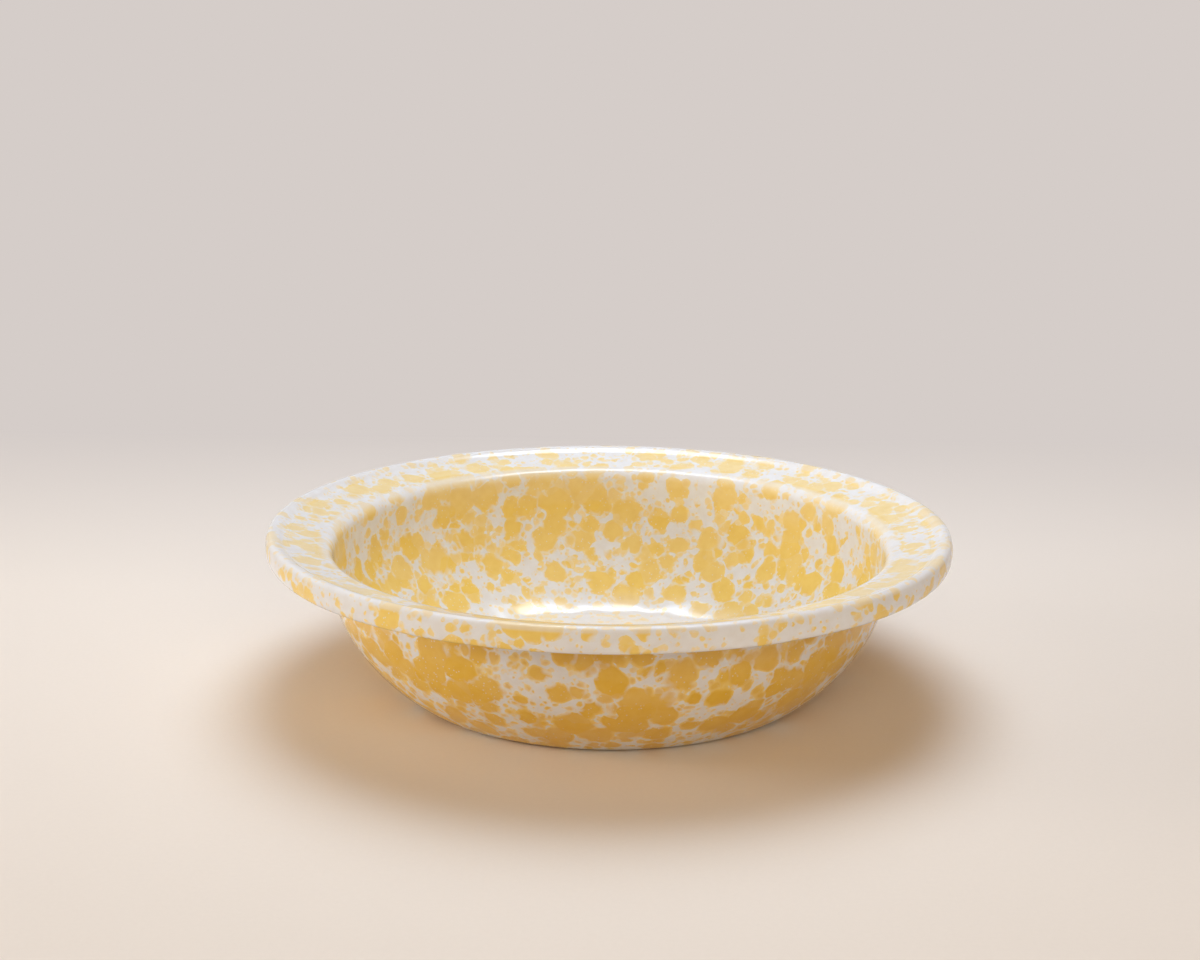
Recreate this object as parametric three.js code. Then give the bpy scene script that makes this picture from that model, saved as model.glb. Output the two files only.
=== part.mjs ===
// Rimmed serving bowl of enamelled sheet steel: one drawn pressing with a wide flange and a rolled edge,
// and the enamel coats that are fired on it one after the other.
// Millimetres, +Z up. The origin is the middle of the flat underside, on the surface the bowl stands on.

import * as THREE from "three";

// Thickness of the sheet and of each coat
const STEEL_THICKNESS = 0.7;
const GROUND_COAT_THICKNESS = 0.12;
const COVER_COAT_THICKNESS = 0.22;
// Joint between two layers that are fused together, and between two coats that meet end to end
const FUSED_JOINT = 0.02;

// Section of the sheet from the axis outwards. Lengths and bend radii are to the middle of the steel,
// and angles are in degrees.
const FLOOR_RADIUS = 85;
const CORNER_RADIUS = 11.3;
const CORNER_TURN = 36;
const WALL_RADIUS = 84.3;
const WALL_TURN = 24.5;
const UPPER_WALL_RADIUS = 48.8;
const UPPER_WALL_TURN = 27.5;
const COLLAR_HEIGHT = 8.8;
const LIP_RADIUS = 5.5;
const FLANGE_WIDTH = 14.5;
const FLANGE_SLOPE = 12;

// The rolled bead: it rises from the flange, turns over its crest, falls down its face and curls under.
// The curl stays open below the flange.
const BEAD_FOOT_RADIUS = 7.5;
const BEAD_RISE = 42;
const BEAD_CREST_RADIUS = 4.6;
const BEAD_EDGE_RADIUS = 1.7;
const BEAD_FACE_RADIUS = 11.2;
const BEAD_FACE_TURN = 36;
const CURL_RADIUS = 1.7;
const CURL_TURN = 162;

// Fineness of the facets
const SEGMENTS_ROUND = 32;
const STEPS_PER_SLOW_BEND = 2;
const DEGREES_PER_TIGHT_STEP = 45;

// Distances from the middle of the steel to the faces of each layer, on either side of the sheet
const STEEL_FACE = STEEL_THICKNESS / 2;
const GROUND_BACK = STEEL_FACE + FUSED_JOINT;
const GROUND_FACE = GROUND_BACK + GROUND_COAT_THICKNESS;
const COVER_BACK = GROUND_FACE + FUSED_JOINT;
const COVER_FACE = COVER_BACK + COVER_COAT_THICKNESS;

// Angles that follow from the ones above
const LIP_TURN = CORNER_TURN + WALL_TURN + UPPER_WALL_TURN - FLANGE_SLOPE;
const FOOT_TURN = BEAD_RISE - FLANGE_SLOPE;
const EDGE_TURN = 90 - BEAD_FACE_TURN / 2;

const white = { color: 0xe9e2d9, roughness: 0.14, metalness: 0 };
const yellow = { color: 0xe2b558, roughness: 0.14, metalness: 0 };
const groundEnamel = { color: 0x2c3138, roughness: 0.35, metalness: 0 };
const steel = { color: 0x8f9398, roughness: 0.45, metalness: 1 };

// A stretch of the section that runs straight on
function straight(length) {
  return { length, turn: 0, steps: 1 };
}

// A stretch of the section along an arc. A positive turn bends the sheet upwards, towards the axis.
function bend(radius, degrees, steps) {
  const turn = THREE.MathUtils.degToRad(degrees);
  return { length: radius * Math.abs(turn), turn, steps };
}

function slowBend(radius, degrees) {
  return bend(radius, degrees, STEPS_PER_SLOW_BEND);
}

function tightBend(radius, degrees) {
  return bend(radius, degrees, Math.ceil(Math.abs(degrees) / DEGREES_PER_TIGHT_STEP));
}

// Goes along the stretches from a first station and adds a station at the end of each step.
// A station has its place in the section and the heading of the sheet there.
function follow(first, stretches) {
  const stations = [first];
  for (const { length, turn, steps } of stretches) {
    const swing = turn / steps;
    const chord = turn === 0 ? length / steps : (2 * length * Math.sin(swing / 2)) / turn;
    for (let step = 0; step < steps; step += 1) {
      const { place, heading } = stations.at(-1);
      const middle = heading + swing / 2;
      const move = new THREE.Vector2(Math.cos(middle), Math.sin(middle)).multiplyScalar(chord);
      stations.push({ place: place.clone().add(move), heading: heading + swing });
    }
  }
  return stations;
}

// The stations moved square to the sheet: up and inwards for a positive distance, down for a negative one
function faceOf(stations, distance) {
  return stations.map(({ place, heading }) => {
    const square = new THREE.Vector2(-Math.sin(heading), Math.cos(heading));
    return place.clone().addScaledVector(square, distance);
  });
}

// One turned layer between two faces of the sheet
function layer(name, stations, lowFace, highFace, finish) {
  const profile = [...faceOf(stations, lowFace), ...faceOf(stations, highFace).reverse()];
  const startsOnAxis = stations[0].place.x === 0;
  if (!startsOnAxis) {
    profile.push(profile[0].clone());
  }
  const geometry = new THREE.LatheGeometry(profile, SEGMENTS_ROUND);
  geometry.rotateX(Math.PI / 2);
  const mesh = new THREE.Mesh(geometry, new THREE.MeshStandardMaterial(finish));
  mesh.name = name;
  return mesh;
}

// The floor's middle lies one coated half thickness above the surface that the bowl stands on
const centre = { place: new THREE.Vector2(0, COVER_FACE), heading: 0 };

const dish = follow(centre, [
  straight(FLOOR_RADIUS),
  slowBend(CORNER_RADIUS, CORNER_TURN),
  slowBend(WALL_RADIUS, WALL_TURN),
  slowBend(UPPER_WALL_RADIUS, UPPER_WALL_TURN),
  straight(COLLAR_HEIGHT),
  tightBend(LIP_RADIUS, -LIP_TURN),
  straight(FLANGE_WIDTH),
]);

const bead = follow(follow(dish.at(-1), [straight(FUSED_JOINT)]).at(-1), [
  tightBend(BEAD_FOOT_RADIUS, FOOT_TURN),
  tightBend(BEAD_CREST_RADIUS, -BEAD_RISE),
  tightBend(BEAD_EDGE_RADIUS, -EDGE_TURN),
  slowBend(BEAD_FACE_RADIUS, -BEAD_FACE_TURN),
  tightBend(CURL_RADIUS, -CURL_TURN),
]);

const sheet = [...dish, ...bead];

const bowl = new THREE.Group();
bowl.add(
  layer("steel_shell", sheet, -STEEL_FACE, STEEL_FACE, steel),
  layer("inner_ground_coat", sheet, GROUND_BACK, GROUND_FACE, groundEnamel),
  layer("outer_ground_coat", sheet, -GROUND_FACE, -GROUND_BACK, groundEnamel),
  layer("interior_cover_coat", dish, COVER_BACK, COVER_FACE, yellow),
  layer("rim_cover_coat", bead, COVER_BACK, COVER_FACE, white),
  layer("exterior_cover_coat", sheet, -COVER_FACE, -COVER_BACK, yellow),
);

export default bowl;
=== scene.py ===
"""Looks of a rimmed serving bowl in splattered enamel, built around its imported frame.

The bowl is one steel pressing under fired enamel coats. Each layer is turned round the bowl's axis from a
section that follows the middle of the sheet. All lengths are in metres, in the frame's own axes.
"""

import math
from typing import NamedTuple

import bpy
from mathutils import Matrix, Vector


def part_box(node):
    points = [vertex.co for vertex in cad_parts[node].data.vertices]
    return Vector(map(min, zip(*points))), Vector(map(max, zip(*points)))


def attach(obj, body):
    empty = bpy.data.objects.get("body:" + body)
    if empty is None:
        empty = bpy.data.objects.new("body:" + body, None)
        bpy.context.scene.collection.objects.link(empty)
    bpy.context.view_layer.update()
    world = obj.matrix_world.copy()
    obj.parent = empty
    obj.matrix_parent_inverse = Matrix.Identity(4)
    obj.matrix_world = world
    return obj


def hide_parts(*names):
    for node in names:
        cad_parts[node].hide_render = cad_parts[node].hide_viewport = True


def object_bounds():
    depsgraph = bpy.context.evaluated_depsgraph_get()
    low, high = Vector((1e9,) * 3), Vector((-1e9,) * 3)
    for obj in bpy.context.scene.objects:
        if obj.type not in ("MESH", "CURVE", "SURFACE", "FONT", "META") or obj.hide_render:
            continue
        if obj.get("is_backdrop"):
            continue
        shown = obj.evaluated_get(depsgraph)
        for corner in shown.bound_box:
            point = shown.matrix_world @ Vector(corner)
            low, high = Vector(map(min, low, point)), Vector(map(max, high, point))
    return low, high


bl_info = {
    "name": "Splattered Enamel Serving Bowl",
    "version": (1, 0, 0),
    "blender": (4, 5, 0),
    "location": "View3D > Sidebar > Bowl",
    "description": "Turns an enamelled steel serving bowl with a rolled rim, and sets a plain stage",
    "category": "Object",
}

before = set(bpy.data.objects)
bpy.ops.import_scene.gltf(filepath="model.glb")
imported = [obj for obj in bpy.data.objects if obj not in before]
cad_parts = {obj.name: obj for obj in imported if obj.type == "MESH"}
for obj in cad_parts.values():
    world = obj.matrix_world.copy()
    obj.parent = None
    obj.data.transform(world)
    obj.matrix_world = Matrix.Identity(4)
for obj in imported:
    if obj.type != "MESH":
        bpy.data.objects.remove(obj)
CAD_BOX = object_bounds()
MM = 0.001

# The photograph's frame in pixels, and the view that was fitted to the bowl's outlines in it
IMAGE_WIDTH = 1200
IMAGE_HEIGHT = 960
FOCAL_PIXELS = 2034.4
AIM_PIXEL = (609.8, 533.7)
SENSOR_WIDTH = 36.0

# Fineness of the turned pieces
SEGMENTS_ROUND = 256
STEP_LENGTH = 3 * MM
STEP_ANGLE = math.radians(8)
SHARP_CORNER = math.radians(50)
WELD_DISTANCE = 1e-6
# How far a piece's box may lie from the box of the node that it stands for
BOX_TOLERANCE = 1.5 * MM
# Level of the ripple's noise that leaves the face where it is, and how far below it the hollows may go
RIPPLE_LEVEL = 0.4
RIPPLE_HOLLOW = -0.08
# The enamel's pool along the corner of the floor: how much more it waves there, and how far
POOL_GAIN = 6.0
POOL_WIDTH = 9 * MM
# The enamel under the bowl doesn't wave out to this many radii of the floor
FLAT_UNDERSIDE = 1.1

# Middle of a noise's range
MIDDLE_NOISE = 0.5
# Noise that pushes the drops out of round, slowly and finely: its size and its reach
SLOW_PUSH_SIZE = 10 * MM
SLOW_PUSH = 5 * MM
FINE_PUSH_SIZE = 3.5 * MM
FINE_PUSH = 1.4 * MM
# Noise that makes the outline of the drops ragged
RAGGED_SIZE = 2.5 * MM
RAGGED_REACH = 0.8 * MM
# Noise that widens and narrows the drops from place to place
CROWD_SIZE = 26 * MM
CROWD_GAIN = 1.1
# Shift between the fields of two kinds of drop, and how far outside a missing drop counts, in spacings
KIND_SHIFT = (0.37, 0.71, 0.53)
MISSING_DROP = 2
# White veins: level at their middle, how far they run on past the drops, the depth in both drops at which
# they close, and how much of the yellow they take away
VEIN_LEVEL = 1.2
VEIN_OVERRUN = 0.7 * MM
VEIN_DEPTH = 2 * MM
VEIN_WHITE = 0.9
# Pinholes in the yellow: spacing, radius in spacings, steepness of their edge, and how white they are
PIN_SPACING = 2 * MM
PIN_RADIUS = 0.2
PIN_EDGE = 12
PIN_WHITE = 0.6
# Share of the white that the weakest drop hides, and the depth at which a drop has its full colour
WEAK_HIDING = 0.5
FULL_DEPTH = 1.2 * MM
# How much of the golden yellow comes from a drop's strength. The rest comes from its depth.
STRENGTH_SHARE = 0.8
# Mottle of both colours: its size, its gain on the deep yellow, and the shares of the shaded white at the
# ends of its range
MOTTLE_SIZE = 5 * MM
DEEP_MOTTLE = 0.8
SHADED_SHARES = (-0.5, 1.1)
# Fine changes of the gloss, and the bump of the fired surface, to which the drops add some height
GLOSS_SIZE = 4 * MM
GLOSS_CHANGE = 0.05
BUMP_SIZE = 7 * MM
BUMP_HEIGHT = 0.05 * MM
DROP_HEIGHT = 0.3
ENAMEL_IOR = 1.5
# The soft sheen of the inside: its level away from the corner of the floor, its gain there, its roughness
SHEEN_LEVEL = 0.2
SHEEN_GAIN = 0.8
SHEEN_ROUGHNESS = 0.3

# Where the parts of the inside lie, outwards from the radii of the floor, the lip and the bead
FLOOR_START = 14 * MM
FLOOR_FULL = 4 * MM
CORNER_MIDDLE = 6 * MM
CORNER_REACH = 7 * MM
LIP_MIDDLE = -1.5 * MM
LIP_REACH = 3 * MM
FLANGE_FULL = 4 * MM
RIM_FULL = 4 * MM
# Where the crest of the bead lies, upwards from its top
CREST_START = -2.43 * MM
CREST_FULL = -1.53 * MM
# A band is full out to 0.3 of its reach and gone at 1.3 of it
BAND_LEVEL = 1.3
# What each part of the inside adds to the width of the drops, to the strength of their yellow and to how
# much of the white they hide. The fewer, weaker drops on the floor and the flange are partly painted
# reflection: they pale the yellow where the gloss washes over it.
WIDTH_CHANGES = {"floor": -0.22, "lip": -0.1, "flange": -0.05, "rim": -0.18}
STRENGTH_CHANGES = {"floor": -0.5, "flange": -0.34, "rim": 0.4}
# The whiter lip and crest are partly paler enamel on the bends and partly painted highlight
HIDING_AND_HIGHLIGHT_CHANGES = {"lip": -0.6, "crest": -0.45}

# The layers under the cover enamel: size and tone of their mottle or streaks, the roughness at the ends of
# its range, and their bump
GROUND_MOTTLE_SIZE = 3 * MM
GROUND_MOTTLE_TONE = (0.05, 0.06, 0.08)
GROUND_ROUGHNESS = (0.25, 0.45)
STEEL_STREAK_SIZE = 4 * MM
STEEL_STREAK_STRETCH = (1.0, 1.0, 14.0)
STEEL_STREAK_TONE = (0.18, 0.19, 0.2)
STEEL_ROUGHNESS = (0.35, 0.6)
UNDERCOAT_BUMP = 0.02 * MM

# The stage's paper: the steps round its cove, its fibres, and where behind the bowl it takes the wall's
# plain tone
COVE_STEPS = 24
FIBRE_SIZE = 2 * MM
FIBRE_TONE = (0.5, 0.45, 0.4)
FIBRE_SHARE = 0.08
PAPER_ROUGHNESS = 0.85
WALL_START = 0.13
WALL_FULL = 0.48
# Tones of the lights
COOL = (0.83, 0.99, 1.18)
NEUTRAL = (0.98, 1.0, 1.0)
WARM = (1.04, 0.98, 0.84)
EVEN_WARM = (1.0, 0.66, 0.40)
# A light keeps its level out to half its radius and fades from there to its edge. The gain gives it the
# power of one that doesn't fade.
FADE_RATE = 2.0
FADE_GAIN = 12 / 7

# The sockets of a Mix node that carry its factor and its colours
MIX_FACTOR = 0
MIX_FIRST = 6
MIX_SECOND = 7
MIX_RESULT = 2


def length(label, size, words):
    """A length that a user can change."""
    return bpy.props.FloatProperty(
        name=label, description=words, default=size, min=0, precision=5, subtype="DISTANCE", unit="LENGTH"
    )


def angle(label, degrees, words):
    """An angle that a user can change."""
    return bpy.props.FloatProperty(
        name=label, description=words, default=math.radians(degrees), subtype="ANGLE", unit="ROTATION"
    )


def share(label, value, words):
    """A share from 0 to 1 that a user can change."""
    return bpy.props.FloatProperty(
        name=label, description=words, default=value, min=0, max=1, subtype="FACTOR"
    )


def amount(label, value, words):
    """A plain number that a user can change."""
    return bpy.props.FloatProperty(name=label, description=words, default=value, min=0)


def linear(level):
    """One screen colour level from 0 to 255 as linear light."""
    part = level / 255
    return part / 12.92 if part <= 0.04045 else ((part + 0.055) / 1.055) ** 2.4


def colour(label, red, green, blue, words):
    """A colour that a user can change, given in screen levels."""
    return bpy.props.FloatVectorProperty(
        name=label,
        description=words,
        default=(linear(red), linear(green), linear(blue)),
        min=0,
        max=1,
        subtype="COLOR",
    )


class BowlSection(bpy.types.PropertyGroup):
    """Sizes of the sheet and its coats. Radii and lengths are to the middle of the steel."""

    steel_thickness: length("Steel", 0.7 * MM, "Thickness of the steel sheet")
    ground_thickness: length("Ground Coat", 0.12 * MM, "Thickness of the first enamel coat")
    cover_thickness: length("Cover Coat", 0.22 * MM, "Thickness of the cover enamel")
    fused_joint: length("Fused Joint", 0.02 * MM, "Joint between two fused layers")
    floor_radius: length("Floor Radius", 85 * MM, "Radius of the flat floor")
    corner_radius: length("Corner Radius", 11.3 * MM, "Bend from the floor into the wall")
    corner_turn: angle("Corner Turn", 36, "Turn of the corner bend")
    wall_radius: length("Wall Radius", 84.3 * MM, "Sweep of the lower wall")
    wall_turn: angle("Wall Turn", 24.5, "Turn of the lower wall")
    upper_wall_radius: length("Upper Wall Radius", 48.8 * MM, "Sweep of the upper wall")
    upper_wall_turn: angle("Upper Wall Turn", 27.5, "Turn of the upper wall")
    collar_height: length("Collar Height", 8.8 * MM, "Straight stretch below the lip")
    lip_radius: length("Lip Radius", 5.5 * MM, "Bend from the wall into the flange")
    flange_width: length("Flange Width", 14.5 * MM, "Width of the flange, up to the bead")
    flange_slope: angle("Flange Slope", 12, "Rise of the flange towards the bead")
    bead_foot_radius: length("Bead Foot Radius", 7.5 * MM, "Hollow bend at the foot of the bead")
    bead_rise: angle("Bead Rise", 42, "Steepest slope of the bead's inner side")
    bead_crest_radius: length("Bead Crest Radius", 4.6 * MM, "Bend over the crest of the bead")
    bead_edge_radius: length("Bead Edge Radius", 1.7 * MM, "Bend from the crest into the face")
    bead_face_radius: length("Bead Face Radius", 11.2 * MM, "Round of the bead's face")
    bead_face_turn: angle("Bead Face Turn", 36, "Turn of the bead's face")
    curl_radius: length("Curl Radius", 1.7 * MM, "Bend of the edge under the bead")
    curl_turn: angle("Curl Turn", 162, "Turn of the edge under the bead")


class BowlEnamel(bpy.types.PropertyGroup):
    """Colours of the enamel and sizes of the drops in it."""

    white: colour("White", 230, 229, 230, "White cover enamel")
    shaded_white: colour("Shaded White", 222, 216, 210, "White cover enamel where it lies thin")
    pale_yellow: colour("Pale Yellow", 243, 220, 160, "Thin yellow drops")
    golden_yellow: colour("Golden Yellow", 241, 205, 100, "Full yellow drops")
    deep_yellow: colour("Deep Yellow", 228, 180, 54, "Heart of the thickest drops")
    ground: colour("Ground Coat", 44, 49, 56, "Dark ground enamel")
    steel: colour("Steel", 143, 147, 152, "Bare steel sheet")
    big_spacing: length("Big Drops", 11.5 * MM, "Spacing of the big drops")
    middle_spacing: length("Middle Drops", 7 * MM, "Spacing of the middle drops")
    small_spacing: length("Small Drops", 4 * MM, "Spacing of the small drops")
    speck_spacing: length("Specks", 2 * MM, "Spacing of the specks")
    vein: length("Veins", 1.0 * MM, "Width of the white veins between drops that touch")
    drop_edge: length("Drop Edge", 0.22 * MM, "Width over which a drop fades at its edge")
    neck: length("Necks", 1.8 * MM, "Reach over which two drops flow into each other")
    gloss: share("Roughness", 0.08, "Roughness of the fired surface")
    ripple_height: length("Ripple Height", 0.26 * MM, "Height of the slow waves in the cover enamel")
    ripple_size: length("Ripple Size", 12 * MM, "Length of the slow waves in the cover enamel")


class BowlStage(bpy.types.PropertyGroup):
    """The plain floor, the lights and the view."""

    floor: colour("Floor", 234, 223, 211, "Plain pale floor")
    backdrop: colour("Backdrop", 213, 205, 201, "Plain wall behind the floor")
    floor_size: length("Floor Size", 3.6, "Side of the square floor")
    cove_radius: length("Cove Radius", 0.7, "Bend from the floor into the wall")
    key_power: amount("Key Power", 8.7, "Power of the soft light above, in watts")
    sheen_power: amount("Sheen Power", 4.4, "Power of the light seen only in the gloss, in watts")
    side_power: amount("Side Power", 11, "Power of the soft light on the left, in watts")
    fill_power: amount("Fill Power", 11.2, "Power of the soft light at the front, in watts")
    world_level: amount("World Level", 0.25, "Strength of the even light from all round")
    view_distance: length("View Distance", 0.9, "Distance from the camera to the middle of the bead")
    view_elevation: angle("View Elevation", 15.67, "Height of the camera above the bead, as an angle")
    view_roll: angle("View Roll", 0.53, "Roll of the camera")


class Value:
    """A node's output socket in an expression. Sums and products add Math nodes."""

    def __init__(self, graph, socket):
        self.graph = graph
        self.socket = socket

    def math(self, operation, *others):
        """The result of a Math node on this value and others."""
        operands = dict(enumerate((self, *others)))
        return self.graph.node("ShaderNodeMath", {"operation": operation}, operands)[0]

    def __add__(self, other):
        return self.math("ADD", other)

    __radd__ = __add__

    def __sub__(self, other):
        return self.math("SUBTRACT", other)

    def __rsub__(self, other):
        return self.graph.node("ShaderNodeMath", {"operation": "SUBTRACT"}, {0: other, 1: self})[0]

    def __mul__(self, other):
        return self.math("MULTIPLY", other)

    __rmul__ = __mul__

    def __truediv__(self, other):
        return self.math("DIVIDE", other)

    def __mod__(self, other):
        return self.math("MODULO", other)

    def __lt__(self, other):
        return self.math("LESS_THAN", other)

    def __gt__(self, other):
        return self.math("GREATER_THAN", other)

    def __abs__(self):
        return self.math("ABSOLUTE")

    def most(self, other):
        return self.math("MAXIMUM", other)

    def least(self, other):
        return self.math("MINIMUM", other)

    def clamped(self):
        return self.most(0).least(1)

    def floor(self):
        return self.math("FLOOR")

    def sine(self):
        return self.math("SINE")

    def cosine(self):
        return self.math("COSINE")

    def root(self):
        return self.math("SQRT")


class Made:
    """A node whose outputs are read by name or number."""

    def __init__(self, graph, node):
        self.graph = graph
        self.node = node

    def __getitem__(self, key):
        return Value(self.graph, self.node.outputs[key])


class Graph:
    """Adds nodes to one node tree."""

    def __init__(self, tree):
        self.tree = tree

    def node(self, kind, settings=None, inputs=None):
        """Makes a node, sets it up, and links its inputs or gives them values."""
        made = self.tree.nodes.new(kind)
        for name, setting in (settings or {}).items():
            setattr(made, name, setting)
        for key, value in (inputs or {}).items():
            socket = made.inputs[key]
            if isinstance(value, Value):
                self.tree.links.new(value.socket, socket)
            else:
                socket.default_value = value
        return Made(self, made)

    def vector(self, operation, *operands):
        """The result of a Vector Math node."""
        return self.node("ShaderNodeVectorMath", {"operation": operation}, dict(enumerate(operands)))[0]

    def mix(self, factor, first, second):
        """A colour between two colours."""
        settings = {"data_type": "RGBA", "clamp_factor": True}
        inputs = {MIX_FACTOR: factor, MIX_FIRST: first, MIX_SECOND: second}
        return self.node("ShaderNodeMix", settings, inputs)[MIX_RESULT]

    def noise(self, place, size, detail=1.0):
        """Soft noise from 0 to 1 whose features are about size across."""
        inputs = {"Vector": place, "Scale": 1 / size, "Detail": detail}
        return self.node("ShaderNodeTexNoise", None, inputs)

    def apart(self, place):
        """A place whose X, Y and Z can be read."""
        return self.node("ShaderNodeSeparateXYZ", None, {"Vector": place})

    def together(self, x, y, z):
        """A place made of three values."""
        return self.node("ShaderNodeCombineXYZ", None, {"X": x, "Y": y, "Z": z})["Vector"]

    def bump(self, height, distance):
        """A surface normal tipped by a height, of which 1 stands for distance."""
        return self.node("ShaderNodeBump", None, {"Height": height, "Distance": distance})["Normal"]


def rgba(tone):
    """A tone as a colour socket takes it."""
    return (*tone, 1.0)


def straight(run):
    """A straight stretch of the section: its length, its turn and its steps."""
    return run, 0.0, math.ceil(run / STEP_LENGTH)


def bend(radius, turn):
    """A stretch of the section along an arc. A positive turn bends the sheet towards the axis."""
    run = radius * abs(turn)
    return run, turn, max(math.ceil(run / STEP_LENGTH), math.ceil(abs(turn) / STEP_ANGLE))


def follow(first, stretches):
    """Stations along the stretches: radius, height and heading of the sheet at each."""
    stations = [first]
    for run, turn, steps in stretches:
        swing = turn / steps
        chord = run / steps if turn == 0 else 2 * run * math.sin(swing / 2) / turn
        for _ in range(steps):
            radius, height, heading = stations[-1]
            middle = heading + swing / 2
            stations.append(
                (radius + chord * math.cos(middle), height + chord * math.sin(middle), heading + swing)
            )
    return stations


class Sheet:
    """The section's stations, in the dish and in the bead, and the faces of the layers on it."""

    def __init__(self, section):
        self.steel_face = section.steel_thickness / 2
        self.ground_back = self.steel_face + section.fused_joint
        self.ground_face = self.ground_back + section.ground_thickness
        self.cover_back = self.ground_face + section.fused_joint
        self.cover_face = self.cover_back + section.cover_thickness
        lip_turn = section.corner_turn + section.wall_turn + section.upper_wall_turn - section.flange_slope
        edge_turn = math.pi / 2 - section.bead_face_turn / 2
        self.dish = follow(
            (0.0, self.cover_face, 0.0),
            [
                straight(section.floor_radius),
                bend(section.corner_radius, section.corner_turn),
                bend(section.wall_radius, section.wall_turn),
                bend(section.upper_wall_radius, section.upper_wall_turn),
                straight(section.collar_height),
                bend(section.lip_radius, -lip_turn),
                straight(section.flange_width),
            ],
        )
        joint_end = follow(self.dish[-1], [straight(section.fused_joint)])[-1]
        self.bead = follow(
            joint_end,
            [
                bend(section.bead_foot_radius, section.bead_rise - section.flange_slope),
                bend(section.bead_crest_radius, -section.bead_rise),
                bend(section.bead_edge_radius, -edge_turn),
                bend(section.bead_face_radius, -section.bead_face_turn),
                bend(section.curl_radius, -section.curl_turn),
            ],
        )
        self.whole = self.dish + self.bead


def section_object(name, stations, low_face, high_face, low_swell, high_swell):
    """A layer's closed section as loose points, with the sheet's heading and the swell of each face."""
    points = []
    headings = []
    swells = []
    for face, swell, row in ((low_face, low_swell, stations), (high_face, high_swell, stations[::-1])):
        for radius, height, heading in row:
            points.append((radius - face * math.sin(heading), 0.0, height + face * math.cos(heading)))
            headings.append(heading)
            swells.append(swell(radius))
    if stations[0][0] > 0:
        points.append(points[0])
        headings.append(headings[0])
        swells.append(swells[0])
    mesh = bpy.data.meshes.new(name + "_section")
    mesh.from_pydata(points, [], [])
    for label, values in (("heading", headings), ("swell", swells)):
        mesh.attributes.new(label, "FLOAT", "POINT").data.foreach_set("value", values)
    made = bpy.data.objects.new(name + "_section", mesh)
    bpy.context.scene.collection.objects.link(made)
    return made


def turned_layer_tree():
    """Geometry nodes that turn a section round the Z axis, with slow waves where the section swells."""
    tree = bpy.data.node_groups.new("turned_layer", "GeometryNodeTree")
    inputs = (
        ("Geometry", "NodeSocketGeometry"),
        ("Section", "NodeSocketObject"),
        ("Segments", "NodeSocketInt"),
        ("Ripple Height", "NodeSocketFloat"),
        ("Ripple Size", "NodeSocketFloat"),
        ("Material", "NodeSocketMaterial"),
    )
    for label, kind in inputs:
        tree.interface.new_socket(label, in_out="INPUT", socket_type=kind)
    tree.interface.new_socket("Geometry", in_out="OUTPUT", socket_type="NodeSocketGeometry")
    graph = Graph(tree)
    given = graph.node("NodeGroupInput")
    points = graph.node("GeometryNodeObjectInfo", None, {"Object": given["Section"]})["Geometry"]
    size = graph.node("GeometryNodeAttributeDomainSize", {"component": "MESH"}, {"Geometry": points})
    rows = size["Point Count"]
    segments = given["Segments"]
    grid_size = {"Vertices X": segments + 1, "Vertices Y": rows}
    grid = graph.node("GeometryNodeMeshGrid", None, grid_size)["Mesh"]
    index = graph.node("GeometryNodeInputIndex")["Index"]
    row = index % rows
    turn = (index / rows).floor() * math.tau / segments

    def sampled(kind, value):
        return graph.node(
            "GeometryNodeSampleIndex",
            {"data_type": kind, "domain": "POINT"},
            {"Geometry": points, "Value": value, "Index": row},
        )["Value"]

    def attribute(label):
        named = graph.node("GeometryNodeInputNamedAttribute", {"data_type": "FLOAT"}, {"Name": label})
        return sampled("FLOAT", named["Attribute"])

    def on_turn(radius, height):
        return graph.together(radius * turn.cosine(), radius * turn.sine(), height)

    position = graph.node("GeometryNodeInputPosition")["Position"]
    place = graph.apart(sampled("FLOAT_VECTOR", position))
    heading = attribute("heading")
    plain = on_turn(place["X"], place["Z"])
    wave_size = given["Ripple Size"]
    wave_place = graph.vector("DIVIDE", plain, graph.together(wave_size, wave_size, wave_size))
    wave = graph.noise(wave_place, 1.0)[0]
    lift = (wave - RIPPLE_LEVEL).most(RIPPLE_HOLLOW) * given["Ripple Height"] * attribute("swell")
    rippled = on_turn(place["X"] - heading.sine() * lift, place["Z"] + heading.cosine() * lift)
    moved = graph.node("GeometryNodeSetPosition", None, {"Geometry": grid, "Position": rippled})[0]
    welding = {"Geometry": moved, "Distance": WELD_DISTANCE}
    welded = graph.node("GeometryNodeMergeByDistance", None, welding)[0]
    smooth = graph.node("GeometryNodeSetShadeSmooth", None, {"Geometry": welded})[0]
    real = graph.node("GeometryNodeRealizeInstances", None, {"Geometry": smooth})[0]
    coated = {"Geometry": real, "Material": given["Material"]}
    done = graph.node("GeometryNodeSetMaterial", None, coated)[0]
    graph.node("NodeGroupOutput", None, {"Geometry": done})
    return tree


def turned_layer(name, section, material, ripple_height, ripple_size):
    """Turns a section into a plain closed mesh at the origin."""
    tree = bpy.data.node_groups.get("turned_layer") or turned_layer_tree()
    piece = bpy.data.objects.new(name, bpy.data.meshes.new(name))
    bpy.context.scene.collection.objects.link(piece)
    modifier = piece.modifiers.new("turned_layer", "NODES")
    modifier.node_group = tree
    values = {
        "Section": section,
        "Segments": SEGMENTS_ROUND,
        "Ripple Height": ripple_height,
        "Ripple Size": ripple_size,
        "Material": material,
    }
    for item in tree.interface.items_tree:
        if item.in_out == "INPUT" and item.name in values:
            modifier[item.identifier] = values[item.name]
    depsgraph = bpy.context.evaluated_depsgraph_get()
    mesh = bpy.data.meshes.new_from_object(piece.evaluated_get(depsgraph), depsgraph=depsgraph)
    mesh.name = name
    piece.modifiers.clear()
    piece.data = mesh
    bpy.data.meshes.remove(section.data)
    turn_faces_out(mesh)
    mesh.set_sharp_from_angle(angle=SHARP_CORNER)
    return piece


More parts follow.
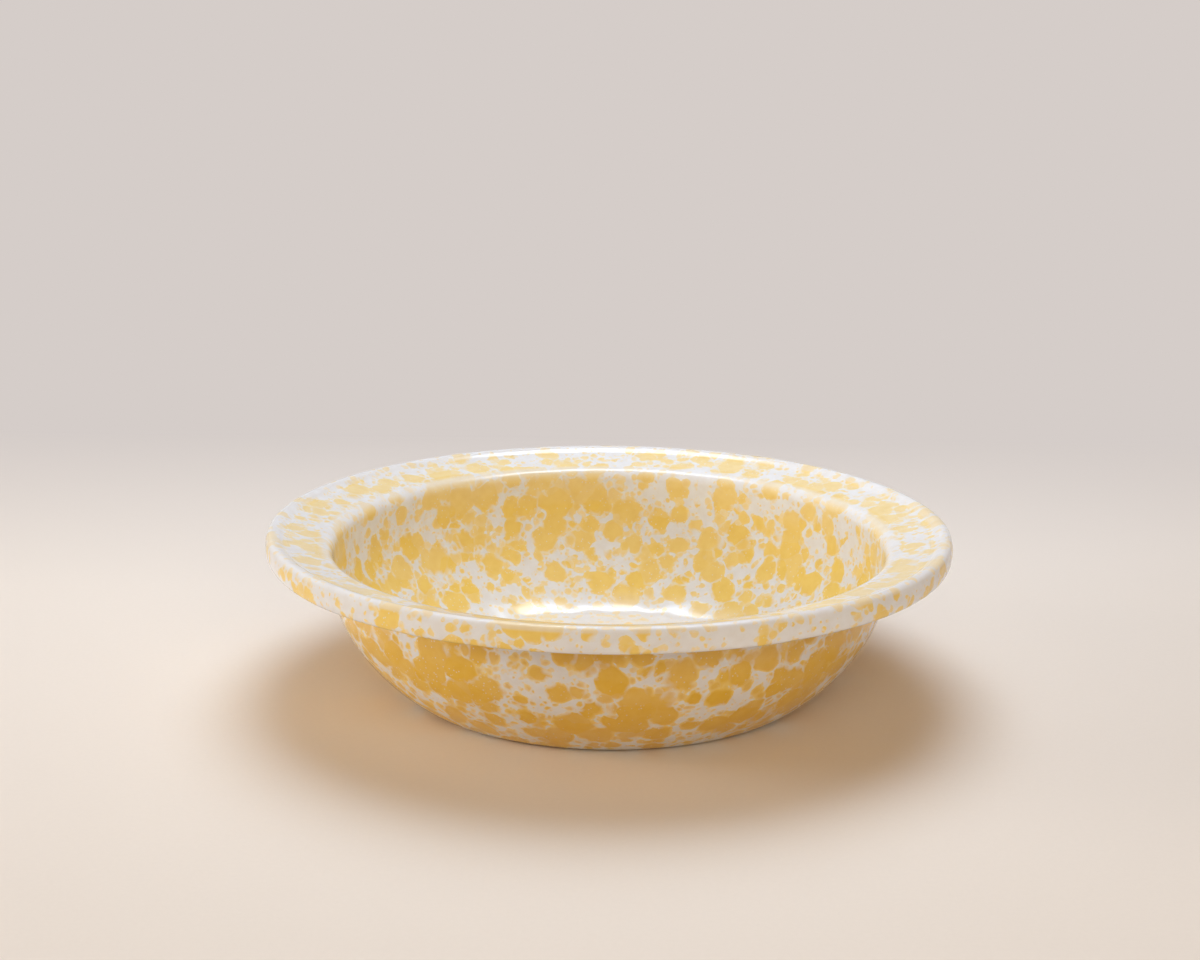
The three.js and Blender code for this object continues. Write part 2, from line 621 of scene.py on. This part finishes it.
def turn_faces_out(mesh):
    """Flips a closed mesh whose faces point inwards."""
    mesh.calc_loop_triangles()
    volume = 0.0
    for triangle in mesh.loop_triangles:
        first, second, third = (mesh.vertices[corner].co for corner in triangle.vertices)
        volume += first.dot(second.cross(third))
    if volume < 0:
        mesh.flip_normals()


def seat(piece, node):
    """Puts a piece in a node's place, after a test that it lies where the node lies."""
    low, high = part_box(node)
    corners = [Vector(corner) for corner in piece.bound_box]
    for axis in range(3):
        piece_low = min(corner[axis] for corner in corners)
        piece_high = max(corner[axis] for corner in corners)
        if max(abs(piece_low - low[axis]), abs(piece_high - high[axis])) > BOX_TOLERANCE:
            raise RuntimeError(f"{piece.name} doesn't lie where {node} lies")
    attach(piece, "root")
    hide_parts(node)


def new_material(name):
    """An empty material and its graph."""
    material = bpy.data.materials.new(name)
    material.use_nodes = True
    material.node_tree.nodes.clear()
    return material, Graph(material.node_tree)


def finish(graph, sockets):
    """Ends a material in one shader."""
    shader = graph.node("ShaderNodeBsdfPrincipled", None, sockets)
    graph.node("ShaderNodeOutputMaterial", None, {"Surface": shader["BSDF"]})


def object_place(graph, shift=(0.0, 0.0, 0.0)):
    """The place on the piece, moved by a shift so that two coats don't share one pattern."""
    coordinates = graph.node("ShaderNodeTexCoord")["Object"]
    return graph.vector("ADD", coordinates, shift)


def between(chance, ends):
    """A value between two ends."""
    return chance * (ends[1] - ends[0]) + ends[0]


def rising(value, start, full):
    """0 at the start, 1 where it is full, and in between on the way."""
    return ((value - start) / (full - start)).clamped()


def band(value, middle, reach):
    """1 around the middle, fading to 0 on both sides of it."""
    return (BAND_LEVEL - abs(value - middle) / reach).clamped()


def edged(depth, width):
    """1 inside an outline and 0 outside it, with a fade of that width across it."""
    return (depth / width + 0.5).clamped()


class Patches(NamedTuple):
    """Patches of noise: their size, the level of noise at which they start, and how fast they rise."""

    size: float
    level: float
    gain: float


VEIN_PATCHES = Patches(size=9 * MM, level=0.46, gain=8)
PIN_PATCHES = Patches(size=15 * MM, level=0.38, gain=6)


def patchy(graph, place, patches):
    """1 in the patches and 0 between them."""
    return ((graph.noise(place, patches.size)[0] - patches.level) * patches.gain).clamped()


class Pattern(NamedTuple):
    """A coat's place in the endless field of drops, the width of its drops and how deep their yellow is."""

    shift: tuple
    crowding: float
    deepness: float


INSIDE = Pattern(shift=(0.400, 0.310, 0.220), crowding=0.04, deepness=0.1)
# The outside's deeper yellow is partly painted shade: its drops are written darker than those inside
OUTSIDE = Pattern(shift=(0.815, 0.640, 0.505), crowding=0.11, deepness=0.9)


class InsideSizes(NamedTuple):
    """Radii at which the floor ends and the flange and the bead start, and the height of the bead's top."""

    floor_radius: float
    lip_radius: float
    rim_radius: float
    rim_top: float


class DropKind(NamedTuple):
    """Drops of one size, with the least and greatest radius in spacings and strength of the yellow.

    present is the share of the places that hold a drop, and crowding is how far crowding widens the drops.
    """

    spacing: float
    radius: tuple
    present: float
    strength: tuple
    crowding: float


class Drops(NamedTuple):
    """How deep each place lies in the flowed drops, in its deepest drop and in the next one.

    Depths are lengths, and below zero outside the drops. The strength is that of the deepest drop.
    """

    flowed: Value
    depth: Value
    next_depth: Value
    strength: Value


def drop_kinds(look):
    """The four sizes of drop, from the big ones to the specks."""
    big = DropKind(
        look.big_spacing, radius=(0.40, 0.62), present=0.85, strength=(0.85, 1.0), crowding=1.0
    )
    middle = DropKind(
        look.middle_spacing, radius=(0.28, 0.54), present=0.7, strength=(0.7, 1.0), crowding=0.6
    )
    small = DropKind(
        look.small_spacing, radius=(0.24, 0.52), present=0.75, strength=(0.45, 0.95), crowding=0.45
    )
    speck = DropKind(
        look.speck_spacing, radius=(0.16, 0.46), present=0.45, strength=(0.25, 0.8), crowding=0.45
    )
    return big, middle, small, speck


def drop_field(graph, place, kinds, crowding, neck):
    """Round drops of several sizes on one surface, which flow into each other where they meet."""
    flowed = depth = next_depth = strength = None
    for number, kind in enumerate(kinds):
        moved = graph.vector("ADD", place, tuple(part * number for part in KIND_SHIFT))
        for feature in ("F1", "F2"):
            cells = graph.node(
                "ShaderNodeTexVoronoi",
                {"voronoi_dimensions": "3D", "feature": feature},
                {"Vector": moved, "Scale": 1 / kind.spacing, "Randomness": 1.0},
            )
            chance = graph.node("ShaderNodeSeparateColor", None, {"Color": cells["Color"]})
            radius = between(chance["Red"], kind.radius) + crowding * kind.crowding
            exists = chance["Green"] < kind.present
            inside = radius - cells["Distance"]
            inside = ((inside + MISSING_DROP) * exists - MISSING_DROP) * kind.spacing
            own_strength = between(chance["Blue"], kind.strength)
            if depth is None:
                flowed = depth = inside
                strength = own_strength
                continue
            shallow = inside.least(depth)
            next_depth = shallow if next_depth is None else next_depth.most(shallow)
            strength = strength + (own_strength - strength) * (inside > depth)
            depth = inside.most(depth)
            flowed = flowed.math("SMOOTH_MAX", inside, neck)
    return Drops(flowed, depth, next_depth, strength)


def pushed(graph, place):
    """The place pushed about by noise, so that the drops on it lose their round outline."""
    moved = place
    for size, reach in ((SLOW_PUSH_SIZE, SLOW_PUSH), (FINE_PUSH_SIZE, FINE_PUSH)):
        push = graph.noise(place, size)["Color"]
        moved = graph.vector("MULTIPLY_ADD", push, (reach,) * 3, moved)
    return moved


def inside_parts(graph, sizes):
    """The parts of the bowl's inside, each as a value that is 1 in the part and fades out around it."""
    place = graph.apart(object_place(graph))
    radius = (place["X"] * place["X"] + place["Y"] * place["Y"]).root()
    floor = sizes.floor_radius
    lip = sizes.lip_radius
    rim = sizes.rim_radius
    top = sizes.rim_top
    return {
        # The floor band reaches up into the corner, where its paler drops are partly painted reflection
        "floor": rising(radius, floor + FLOOR_START, floor + FLOOR_FULL),
        "corner": band(radius, floor + CORNER_MIDDLE, CORNER_REACH),
        "lip": band(radius, lip + LIP_MIDDLE, LIP_REACH),
        "flange": rising(radius, lip, lip + FLANGE_FULL),
        "rim": rising(radius, rim, rim + RIM_FULL),
        # The crest band marks the bead's top, where paler drops partly paint a highlight
        "crest": rising(place["Z"], top + CREST_START, top + CREST_FULL),
    }


def by_part(value, parts, changes):
    """A value with what each part of the inside adds to it."""
    for part, change in changes.items():
        if part in parts:
            value = value + parts[part] * change
    return value


def white_veins(graph, place, look, drops):
    """White veins along the lines on which two drops meet, in patches."""
    near_line = (VEIN_LEVEL - (drops.depth - drops.next_depth) / look.vein).clamped()
    in_both = edged(drops.next_depth + VEIN_OVERRUN, look.drop_edge)
    open_line = (1 - drops.next_depth / VEIN_DEPTH).clamped()
    return near_line * in_both * open_line * patchy(graph, place, VEIN_PATCHES)


def pinholes(graph, place):
    """Fine white pinholes, in patches."""
    field = {"Vector": place, "Scale": 1 / PIN_SPACING}
    cells = graph.node("ShaderNodeTexVoronoi", {"feature": "F1"}, field)
    holes = ((PIN_RADIUS - cells["Distance"]) * PIN_EDGE).clamped()
    return holes * patchy(graph, place, PIN_PATCHES) * PIN_WHITE


def splatter_enamel(name, look, pattern, sizes=None):
    """White cover enamel with yellow drops, flowed together in places.

    With the sizes of the inside, the drops and the sheen change from part to part of it. Paler drops on the
    floor, the flange, the lip and the crest are partly painted reflection and highlight.
    """
    material, graph = new_material(name)
    place = object_place(graph, pattern.shift)
    parts = inside_parts(graph, sizes) if sizes else {}
    crowding = (graph.noise(place, CROWD_SIZE)[0] - MIDDLE_NOISE) * CROWD_GAIN + pattern.crowding
    # Fewer, weaker drops on the floor and the flange are partly painted reflection, paling the yellow there
    crowding = by_part(crowding, parts, WIDTH_CHANGES)
    drops = drop_field(graph, pushed(graph, place), drop_kinds(look), crowding, look.neck)
    strength = drops.strength * by_part(1.0, parts, STRENGTH_CHANGES)
    ragged = (graph.noise(place, RAGGED_SIZE, detail=2.0)[0] - MIDDLE_NOISE) * RAGGED_REACH
    mask = edged(drops.flowed + ragged, look.drop_edge)
    unveined = 1 - white_veins(graph, place, look, drops) * VEIN_WHITE
    # Less cover on the lip and the crest is partly painted highlight
    hiding = by_part(1.0, parts, HIDING_AND_HIGHLIGHT_CHANGES)
    cover = mask * unveined * between(strength, (WEAK_HIDING, 1.0)) * hiding
    mottle = graph.noise(place, MOTTLE_SIZE, detail=3.0)[0]
    thick = (drops.flowed / FULL_DEPTH).clamped()
    golden = strength * STRENGTH_SHARE + thick * (1 - STRENGTH_SHARE)
    deep = thick * ((mottle - MIDDLE_NOISE) * DEEP_MOTTLE + pattern.deepness)
    yellow = graph.mix(golden, rgba(look.pale_yellow), rgba(look.golden_yellow))
    yellow = graph.mix(deep, yellow, rgba(look.deep_yellow))
    white = graph.mix(between(mottle, SHADED_SHARES), rgba(look.white), rgba(look.shaded_white))
    base = graph.mix(cover * (1 - pinholes(graph, place)), white, yellow)
    gloss_noise = graph.noise(place, GLOSS_SIZE, detail=2.0)[0]
    sockets = {
        "Base Color": base,
        "Roughness": (gloss_noise - MIDDLE_NOISE) * GLOSS_CHANGE + look.gloss,
        "IOR": ENAMEL_IOR,
        "Normal": graph.bump(graph.noise(place, BUMP_SIZE)[0] + mask * DROP_HEIGHT, BUMP_HEIGHT),
        "Coat Weight": parts["corner"] * SHEEN_GAIN + SHEEN_LEVEL if parts else 0.0,
        "Coat Roughness": SHEEN_ROUGHNESS,
    }
    finish(graph, sockets)
    return material


def inside_splatter(name, look, section, sheet):
    """The splatter that runs on over the bowl's inside, its flange and its bead."""
    rim_radius = sheet.bead[0][0]
    sizes = InsideSizes(
        floor_radius=section.floor_radius,
        lip_radius=rim_radius - section.flange_width,
        rim_radius=rim_radius,
        rim_top=max(height for _, height, _ in sheet.bead) + sheet.cover_face,
    )
    return splatter_enamel(name, look, INSIDE, sizes)


def ground_enamel(look):
    """Dark ground coat with a faint mottle."""
    material, graph = new_material("ground_enamel")
    mottle = graph.noise(object_place(graph), GROUND_MOTTLE_SIZE, detail=3.0)[0]
    sockets = {
        "Base Color": graph.mix(mottle, rgba(look.ground), rgba(GROUND_MOTTLE_TONE)),
        "Roughness": between(mottle, GROUND_ROUGHNESS),
        "Normal": graph.bump(mottle, UNDERCOAT_BUMP),
    }
    finish(graph, sockets)
    return material


def pickled_steel(look):
    """Grey drawn steel with fine streaks round the axis."""
    material, graph = new_material("pickled_steel")
    drawn = graph.vector("MULTIPLY", object_place(graph), STEEL_STREAK_STRETCH)
    streak = graph.noise(drawn, STEEL_STREAK_SIZE, detail=4.0)[0]
    sockets = {
        "Base Color": graph.mix(streak, rgba(look.steel), rgba(STEEL_STREAK_TONE)),
        "Roughness": between(streak, STEEL_ROUGHNESS),
        "Metallic": 1.0,
        "Normal": graph.bump(streak, UNDERCOAT_BUMP),
    }
    finish(graph, sockets)
    return material


def still(_radius):
    """Swell of a face that stays as it is."""
    return 0.0


def flowing(_radius):
    """Swell of a face whose enamel flowed in the firing."""
    return 1.0


def pooling(corner_radius):
    """Swell of a face whose enamel also pooled along the corner of the floor."""

    def swell(radius):
        return 1.0 + POOL_GAIN * math.exp(-(((radius - corner_radius) / POOL_WIDTH) ** 2))

    return swell


class BOWL_OT_steel_shell(bpy.types.Operator):
    """Turn the drawn steel sheet with its rolled edge"""

    bl_idname = "bowl.steel_shell"
    bl_label = "Steel Shell"

    def execute(self, context):
        sheet = Sheet(context.scene.bowl_section)
        section = section_object("steel", sheet.whole, -sheet.steel_face, sheet.steel_face, still, still)
        look = context.scene.bowl_enamel
        piece = turned_layer("drawn_steel_shell", section, pickled_steel(look), 0.0, look.ripple_size)
        seat(piece, "steel_shell")
        return {"FINISHED"}


class BOWL_OT_ground_coats(bpy.types.Operator):
    """Turn the first enamel coat on both sides of the sheet"""

    bl_idname = "bowl.ground_coats"
    bl_label = "Ground Coats"

    def execute(self, context):
        sheet = Sheet(context.scene.bowl_section)
        look = context.scene.bowl_enamel
        material = ground_enamel(look)
        for name, low, high in (
            ("inner_ground_coat", sheet.ground_back, sheet.ground_face),
            ("outer_ground_coat", -sheet.ground_face, -sheet.ground_back),
        ):
            section = section_object(name, sheet.whole, low, high, still, still)
            piece = turned_layer("fired_" + name, section, material, 0.0, look.ripple_size)
            seat(piece, name)
        return {"FINISHED"}


class BOWL_OT_interior_coat(bpy.types.Operator):
    """Turn the splattered cover coat inside the bowl and on its flange"""

    bl_idname = "bowl.interior_coat"
    bl_label = "Interior Cover Coat"

    def execute(self, context):
        sheet = Sheet(context.scene.bowl_section)
        look = context.scene.bowl_enamel
        material = inside_splatter("interior_splatter", look, context.scene.bowl_section, sheet)
        pooled = pooling(context.scene.bowl_section.floor_radius + POOL_WIDTH / 2)
        section = section_object("interior", sheet.dish, sheet.cover_back, sheet.cover_face, still, pooled)
        piece = turned_layer("splattered_interior", section, material, look.ripple_height, look.ripple_size)
        seat(piece, "interior_cover_coat")
        return {"FINISHED"}


class BOWL_OT_rim_coat(bpy.types.Operator):
    """Turn the whiter cover coat over the rolled bead, whose paler crest is partly a painted highlight"""

    bl_idname = "bowl.rim_coat"
    bl_label = "Rim Cover Coat"

    def execute(self, context):
        sheet = Sheet(context.scene.bowl_section)
        look = context.scene.bowl_enamel
        material = inside_splatter("rim_splatter", look, context.scene.bowl_section, sheet)
        section = section_object("rim", sheet.bead, sheet.cover_back, sheet.cover_face, still, flowing)
        piece = turned_layer("splattered_rim_bead", section, material, look.ripple_height, look.ripple_size)
        seat(piece, "rim_cover_coat")
        return {"FINISHED"}


class BOWL_OT_exterior_coat(bpy.types.Operator):
    """Turn the splattered cover coat outside the bowl"""

    bl_idname = "bowl.exterior_coat"
    bl_label = "Exterior Cover Coat"

    def execute(self, context):
        scene = context.scene
        sheet = Sheet(scene.bowl_section)
        look = scene.bowl_enamel
        flat_radius = scene.bowl_section.floor_radius * FLAT_UNDERSIDE

        def flowing_wall(radius):
            return -1.0 if radius > flat_radius else 0.0

        # The outside's splatter has the deeper yellow, which is partly painted shade
        material = splatter_enamel("exterior_splatter", look, OUTSIDE)
        section = section_object(
            "exterior", sheet.whole, -sheet.cover_face, -sheet.cover_back, flowing_wall, still
        )
        piece = turned_layer("splattered_exterior", section, material, look.ripple_height, look.ripple_size)
        seat(piece, "exterior_cover_coat")
        return {"FINISHED"}


def studio_sweep(stage):
    """One pale sheet that is the floor, bends up in a cove behind it and ends as a plain wall."""
    half = stage.floor_size / 2
    bend_start = half - stage.cove_radius
    profile = [(-half, 0.0), (bend_start, 0.0)]
    for step in range(1, COVE_STEPS + 1):
        turn = math.pi / 2 * step / COVE_STEPS
        profile.append(
            (bend_start + stage.cove_radius * math.sin(turn), stage.cove_radius * (1 - math.cos(turn)))
        )
    profile.append((half, stage.floor_size))
    points = [(side * half, depth, height) for depth, height in profile for side in (-1, 1)]
    faces = [(row, row + 1, row + 3, row + 2) for row in range(0, len(points) - 2, 2)]
    mesh = bpy.data.meshes.new("studio_sweep")
    mesh.from_pydata(points, [], faces)
    mesh.shade_smooth()
    mesh.materials.append(sweep_paper(stage))
    sweep = bpy.data.objects.new("studio_sweep", mesh)
    bpy.context.scene.collection.objects.link(sweep)
    sweep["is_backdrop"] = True


def seen(graph):
    """1 for a ray that shows what it meets, directly, in a gloss or through glass, and 0 for other rays."""
    ray = graph.node("ShaderNodeLightPath")
    return ray["Is Camera Ray"].most(ray["Is Glossy Ray"]).most(ray["Is Transmission Ray"])


def even_light(stage):
    """Even warm light from all round, which is seen as the same plain tone as the wall."""
    world = bpy.data.worlds.new("even_light")
    world.use_nodes = True
    world.node_tree.nodes.clear()
    graph = Graph(world.node_tree)
    warm = {"Color": rgba(EVEN_WARM), "Strength": stage.world_level}
    light = graph.node("ShaderNodeBackground", None, warm)["Background"]
    plain = {"Color": rgba(stage.backdrop), "Strength": 1.0}
    wall = graph.node("ShaderNodeBackground", None, plain)["Background"]
    mixed = graph.node("ShaderNodeMixShader", None, {0: seen(graph), 1: light, 2: wall})
    graph.node("ShaderNodeOutputWorld", None, {"Surface": mixed["Shader"]})
    return world


def sweep_paper(stage):
    """Matt pale paper. Seen directly or in a reflection, its wall keeps one tone whatever the light."""
    material, graph = new_material("sweep_paper")
    place = object_place(graph)
    fibre = graph.noise(place, FIBRE_SIZE, detail=2.0)[0]
    base = graph.mix(fibre * FIBRE_SHARE, rgba(stage.floor), rgba(FIBRE_TONE))
    matt = {"Base Color": base, "Roughness": PAPER_ROUGHNESS}
    paper = graph.node("ShaderNodeBsdfPrincipled", None, matt)["BSDF"]
    plain = {"Color": rgba(stage.backdrop), "Strength": 1.0}
    wall = graph.node("ShaderNodeEmission", None, plain)["Emission"]
    away = rising(graph.apart(place)["Y"], WALL_START, WALL_FULL)
    mixed = graph.node("ShaderNodeMixShader", None, {0: seen(graph) * away, 1: paper, 2: wall})
    graph.node("ShaderNodeOutputMaterial", None, {"Surface": mixed["Shader"]})
    return material


def soft_light(name, place, aim, size, power, tone, gloss_only=False):
    """An oval soft light that points at aim and fades towards its edge.

    It lights the surfaces and doesn't show in their gloss, or with gloss_only it shows there alone.
    """
    lamp = bpy.data.lights.new(name, "AREA")
    lamp.shape = "ELLIPSE"
    lamp.size, lamp.size_y = size
    lamp.energy = power
    lamp.color = tone
    lamp.use_nodes = True
    lamp.node_tree.nodes.clear()
    graph = Graph(lamp.node_tree)
    spot = graph.apart(graph.node("ShaderNodeNewGeometry")["Parametric"])
    across = spot["X"] * 2 - 1
    along = spot["Y"] * 2 - 1
    fade = ((1 - (across * across + along * along).root()) * FADE_RATE).clamped()
    glow = graph.node("ShaderNodeEmission", None, {"Strength": fade * FADE_GAIN})["Emission"]
    graph.node("ShaderNodeOutputLight", None, {"Surface": glow})
    made = bpy.data.objects.new(name, lamp)
    made.location = place
    made.rotation_euler = (Vector(aim) - Vector(place)).to_track_quat("-Z", "Y").to_euler()
    made.visible_camera = False
    made.visible_glossy = gloss_only
    made.visible_diffuse = not gloss_only
    bpy.context.scene.collection.objects.link(made)


def photo_camera(stage, target):
    """The photograph's view: aimed at the middle of the bead, then tilted, rolled and shifted."""
    rise = stage.view_elevation
    toward = Vector((0.0, math.cos(rise), -math.sin(rise)))
    place = target - toward * stage.view_distance
    level = Vector((1.0, 0.0, 0.0))
    up = level.cross(toward)
    tilt = math.atan((AIM_PIXEL[1] - IMAGE_HEIGHT / 2) / FOCAL_PIXELS)
    ahead = toward * math.cos(tilt) + up * math.sin(tilt)
    up = up * math.cos(tilt) - toward * math.sin(tilt)
    roll = stage.view_roll
    right = level * math.cos(roll) + up * math.sin(roll)
    over = up * math.cos(roll) - level * math.sin(roll)
    lens = bpy.data.cameras.new("photo_camera")
    lens.sensor_fit = "HORIZONTAL"
    lens.sensor_width = SENSOR_WIDTH
    lens.lens = FOCAL_PIXELS / IMAGE_WIDTH * SENSOR_WIDTH
    lens.shift_x = (IMAGE_WIDTH / 2 - AIM_PIXEL[0]) / IMAGE_WIDTH
    camera = bpy.data.objects.new("photo_camera", lens)
    turned = Matrix((right, over, -ahead)).transposed()
    camera.matrix_world = Matrix.Translation(place) @ turned.to_4x4()
    bpy.context.scene.collection.objects.link(camera)
    bpy.context.scene.camera = camera


class BOWL_OT_stage(bpy.types.Operator):
    """Set the plain floor, the soft lights and the camera"""

    bl_idname = "bowl.stage"
    bl_label = "Stage"

    def execute(self, context):
        scene = context.scene
        stage = scene.bowl_stage
        studio_sweep(stage)
        soft_light(
            "key_light",
            place=(0.02, 0.34, 1.0),
            aim=(0, 0.03, 0),
            size=(0.9, 1.25),
            power=stage.key_power,
            tone=COOL,
        )
        soft_light(
            "sheen_light",
            place=(0.02, 0.26, 1.0),
            aim=(0, 0, 0),
            size=(1.1, 0.38),
            power=stage.sheen_power,
            tone=COOL,
            gloss_only=True,
        )
        soft_light(
            "side_light",
            place=(-1.5, 0.0, 0.34),
            aim=(0, 0, 0.04),
            size=(0.9, 0.5),
            power=stage.side_power,
            tone=NEUTRAL,
        )
        soft_light(
            "fill_light",
            place=(0.3, -1.6, 0.9),
            aim=(0, 0, 0.04),
            size=(1.6, 1.2),
            power=stage.fill_power,
            tone=WARM,
        )
        scene.world = even_light(stage)
        scene.view_settings.view_transform = "Standard"
        low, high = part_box("rim_cover_coat")
        photo_camera(stage, Vector((0.0, 0.0, (low[2] + high[2]) / 2)))
        return {"FINISHED"}


class BOWL_PT_pieces(bpy.types.Panel):
    """Pieces of the bowl, in the order they are made"""

    bl_label = "Serving Bowl"
    bl_idname = "BOWL_PT_pieces"
    bl_space_type = "VIEW_3D"
    bl_region_type = "UI"
    bl_category = "Bowl"

    def draw(self, context):
        for operator in OPERATORS:
            self.layout.operator(operator.bl_idname)
        for group in (context.scene.bowl_section, context.scene.bowl_enamel, context.scene.bowl_stage):
            box = self.layout.box()
            for name in group.bl_rna.properties.keys():
                if name not in ("rna_type", "name"):
                    box.prop(group, name)


GROUPS = {"bowl_section": BowlSection, "bowl_enamel": BowlEnamel, "bowl_stage": BowlStage}
OPERATORS = (
    BOWL_OT_stage,
    BOWL_OT_steel_shell,
    BOWL_OT_ground_coats,
    BOWL_OT_interior_coat,
    BOWL_OT_rim_coat,
    BOWL_OT_exterior_coat,
)


def register():
    for name, group in GROUPS.items():
        bpy.utils.register_class(group)
        setattr(bpy.types.Scene, name, bpy.props.PointerProperty(type=group))
    for operator in OPERATORS:
        bpy.utils.register_class(operator)
    bpy.utils.register_class(BOWL_PT_pieces)


def unregister():
    bpy.utils.unregister_class(BOWL_PT_pieces)
    for operator in reversed(OPERATORS):
        bpy.utils.unregister_class(operator)
    for name, group in GROUPS.items():
        delattr(bpy.types.Scene, name)
        bpy.utils.unregister_class(group)


def main():
    register()
    bpy.ops.bowl.stage()
    bpy.ops.bowl.steel_shell()
    bpy.ops.bowl.ground_coats()
    bpy.ops.bowl.interior_coat()
    bpy.ops.bowl.rim_coat()
    bpy.ops.bowl.exterior_coat()
    boxes = {"cad": CAD_BOX, "visual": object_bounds()}
    {name: [list(corner) for corner in box] for name, box in boxes.items()}


if __name__ == "__main__":
    main()
